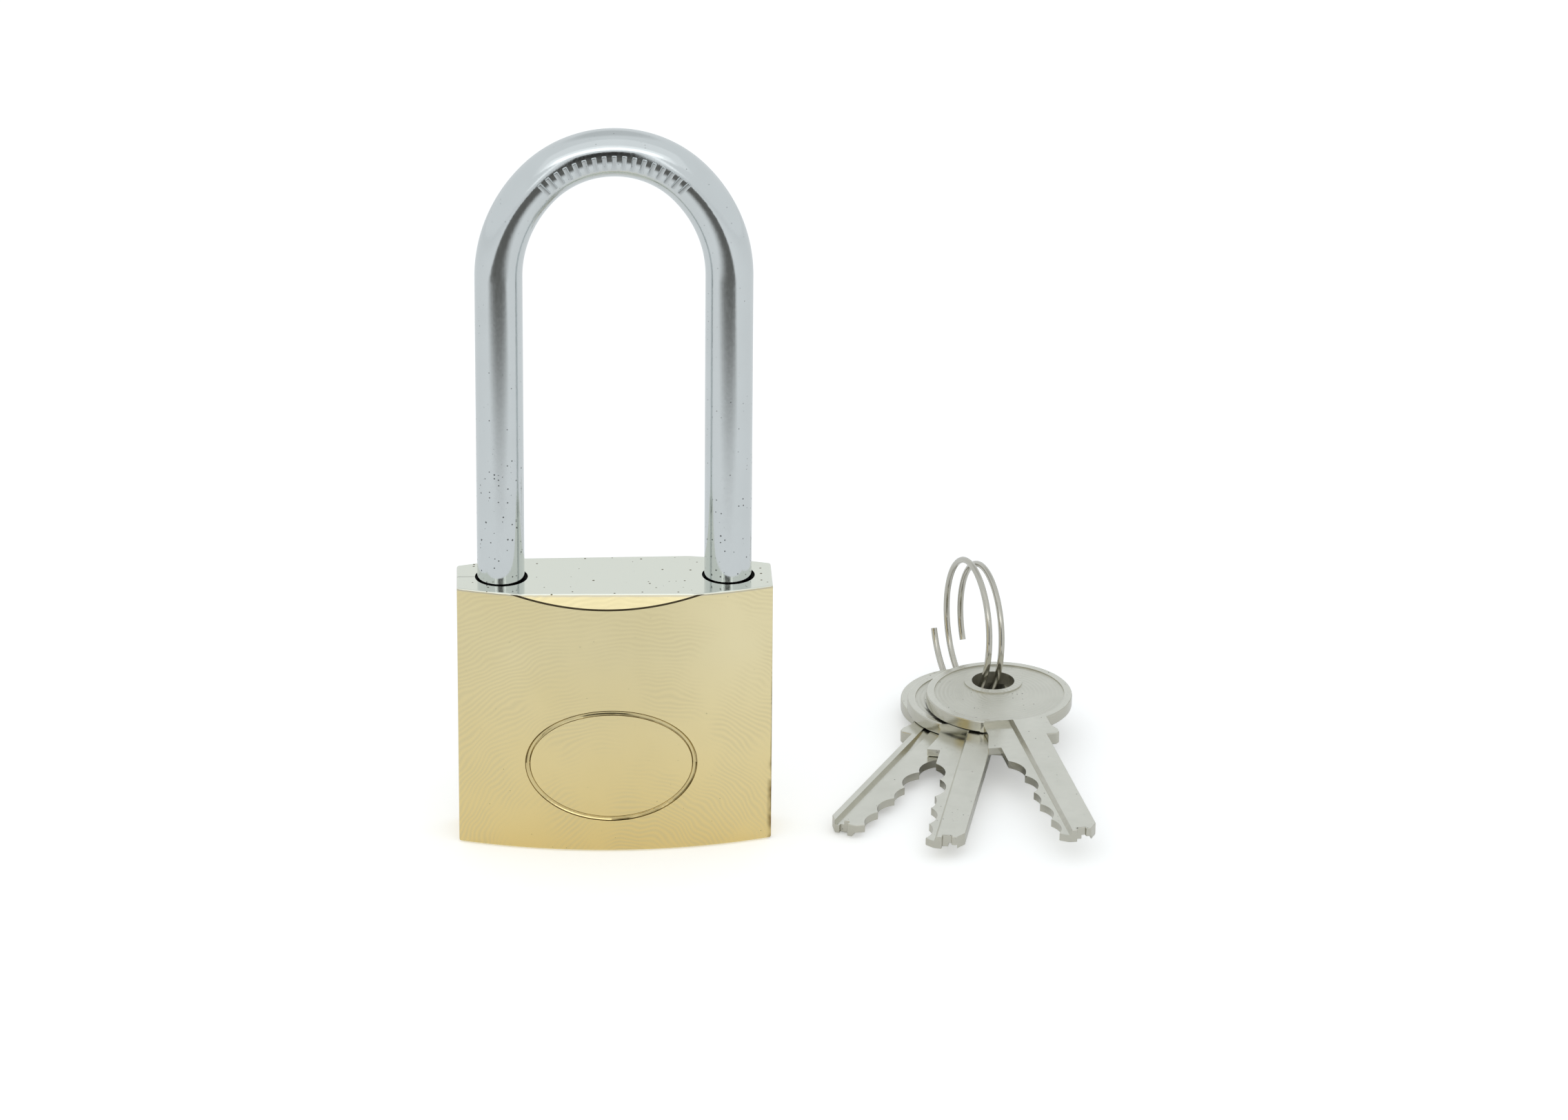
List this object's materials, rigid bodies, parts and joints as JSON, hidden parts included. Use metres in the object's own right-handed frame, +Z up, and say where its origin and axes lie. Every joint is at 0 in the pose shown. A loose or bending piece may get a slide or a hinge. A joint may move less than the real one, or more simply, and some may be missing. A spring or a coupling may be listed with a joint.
{
  "type": "padlock",
  "caption": "Brass padlock with a long steel shackle, an off-centre cylinder in its base and matching flat keys on a wire ring.",
  "frame": {"origin": "middle of the lock's flat base, between its two shackle legs", "axes": "+Z up along the shackle legs, +X from the heel leg to the toe leg, -Y out of the decorated broad face"},
  "size_m": [0.1016, 0.081, 0.1183],
  "materials": {
    "body_brass": "polished and lacquered",
    "shackle_chrome": "bright plated steel",
    "spring_steel": "drawn wire",
    "pin_steel": "plain",
    "plug_brass": "turned",
    "latch_brass": "turned",
    "cap_brass": "filed flush",
    "tumbler_brass": "turned",
    "key_nickel": "nickel plated",
    "ring_nickel": "nickel plated wire"
  },
  "bodies": {
    "case": {"body": "body_brass", "heel_pin": "pin_steel", "plug_pin": "pin_steel", "latch_bore_plug": "cap_brass", "tumbler_caps": "cap_brass", "shackle_spring": "spring_steel", "latch_spring": "spring_steel", "tumbler_spring_1": "spring_steel", "tumbler_spring_2": "spring_steel", "tumbler_spring_3": "spring_steel", "tumbler_spring_4": "spring_steel", "tumbler_spring_5": "spring_steel"},
    "shackle_body": {"shackle": "shackle_chrome"},
    "cylinder": {"cylinder_plug": "plug_brass", "tailpiece": "pin_steel"},
    "latch_body": {"latch": "latch_brass"},
    "driver_1": {"driver_pin_1": "tumbler_brass"},
    "key_pin_body_1": {"key_pin_1": "tumbler_brass"},
    "driver_2": {"driver_pin_2": "tumbler_brass"},
    "key_pin_body_2": {"key_pin_2": "tumbler_brass"},
    "driver_3": {"driver_pin_3": "tumbler_brass"},
    "key_pin_body_3": {"key_pin_3": "tumbler_brass"},
    "driver_4": {"driver_pin_4": "tumbler_brass"},
    "key_pin_body_4": {"key_pin_4": "tumbler_brass"},
    "driver_5": {"driver_pin_5": "tumbler_brass"},
    "key_pin_body_5": {"key_pin_5": "tumbler_brass"},
    "ring": {"key_ring": "ring_nickel"},
    "left_key": {"key_left": "key_nickel"},
    "middle_key": {"key_middle": "key_nickel"},
    "right_key": {"key_right": "key_nickel"}
  },
  "joints": [
    {"name": "shackle_lift", "type": "slide", "parent": "case", "child": "shackle_body", "axis": [0, 0, 1], "range_m": [0, 0.011], "deforming": ["shackle_spring"]},
    {"name": "cylinder_turn", "type": "hinge", "parent": "case", "child": "cylinder", "pos_m": [0.002, 0, 0.017], "axis": [0, 0, 1], "range_deg": [-90, 0]},
    {"name": "latch_slide", "type": "slide", "parent": "case", "child": "latch_body", "axis": [1, 0, 0], "range_m": [0, 0.0028], "deforming": ["latch_spring"]},
    {"name": "driver_1_slide", "type": "slide", "parent": "case", "child": "driver_1", "axis": [1, 0, 0], "range_m": [0, 0.0015], "stiffness_N_per_m": 30, "springref_m": -0.003, "deforming": ["tumbler_spring_1"]},
    {"name": "driver_2_slide", "type": "slide", "parent": "case", "child": "driver_2", "axis": [1, 0, 0], "range_m": [0, 0.0015], "stiffness_N_per_m": 30, "springref_m": -0.003, "deforming": ["tumbler_spring_2"]},
    {"name": "driver_3_slide", "type": "slide", "parent": "case", "child": "driver_3", "axis": [1, 0, 0], "range_m": [0, 0.0015], "stiffness_N_per_m": 30, "springref_m": -0.003, "deforming": ["tumbler_spring_3"]},
    {"name": "driver_4_slide", "type": "slide", "parent": "case", "child": "driver_4", "axis": [1, 0, 0], "range_m": [0, 0.0015], "stiffness_N_per_m": 30, "springref_m": -0.003, "deforming": ["tumbler_spring_4"]},
    {"name": "driver_5_slide", "type": "slide", "parent": "case", "child": "driver_5", "axis": [1, 0, 0], "range_m": [0, 0.0015], "stiffness_N_per_m": 30, "springref_m": -0.003, "deforming": ["tumbler_spring_5"]},
    {"name": "key_pin_1_slide", "type": "slide", "parent": "cylinder", "child": "key_pin_body_1", "axis": [0, -1, 0], "range_m": [0, 0.0012]},
    {"name": "key_pin_2_slide", "type": "slide", "parent": "cylinder", "child": "key_pin_body_2", "axis": [0, -1, 0], "range_m": [0, 0.0012]},
    {"name": "key_pin_3_slide", "type": "slide", "parent": "cylinder", "child": "key_pin_body_3", "axis": [0, -1, 0], "range_m": [0, 0.0012]},
    {"name": "key_pin_4_slide", "type": "slide", "parent": "cylinder", "child": "key_pin_body_4", "axis": [0, -1, 0], "range_m": [0, 0.0012]},
    {"name": "key_pin_5_slide", "type": "slide", "parent": "cylinder", "child": "key_pin_body_5", "axis": [0, -1, 0], "range_m": [0, 0.0012]},
    {"name": "bunch_lift", "type": "slide", "parent": "case", "child": "ring", "axis": [0, 0, 1], "range_m": [0, 0.06]},
    {"name": "left_key_swing", "type": "hinge", "parent": "ring", "child": "left_key", "pos_m": [0.0627, 0.04627, 0.00284], "axis": [0, -0.0314, 0.9995], "range_deg": [-10, 25]},
    {"name": "middle_key_swing", "type": "hinge", "parent": "ring", "child": "middle_key", "pos_m": [0.0624, 0.0418, 0.00485], "axis": [0, -0.0314, 0.9995], "range_deg": [-20, 40]},
    {"name": "right_key_swing", "type": "hinge", "parent": "ring", "child": "right_key", "pos_m": [0.0638, 0.03963, 0.00693], "axis": [0, -0.0314, 0.9995], "range_deg": [-30, 50]}
  ],
  "couplings": [
    {"joint": "latch_slide", "follows": "cylinder_turn", "m_per_rad": -0.0017825}
  ]
}
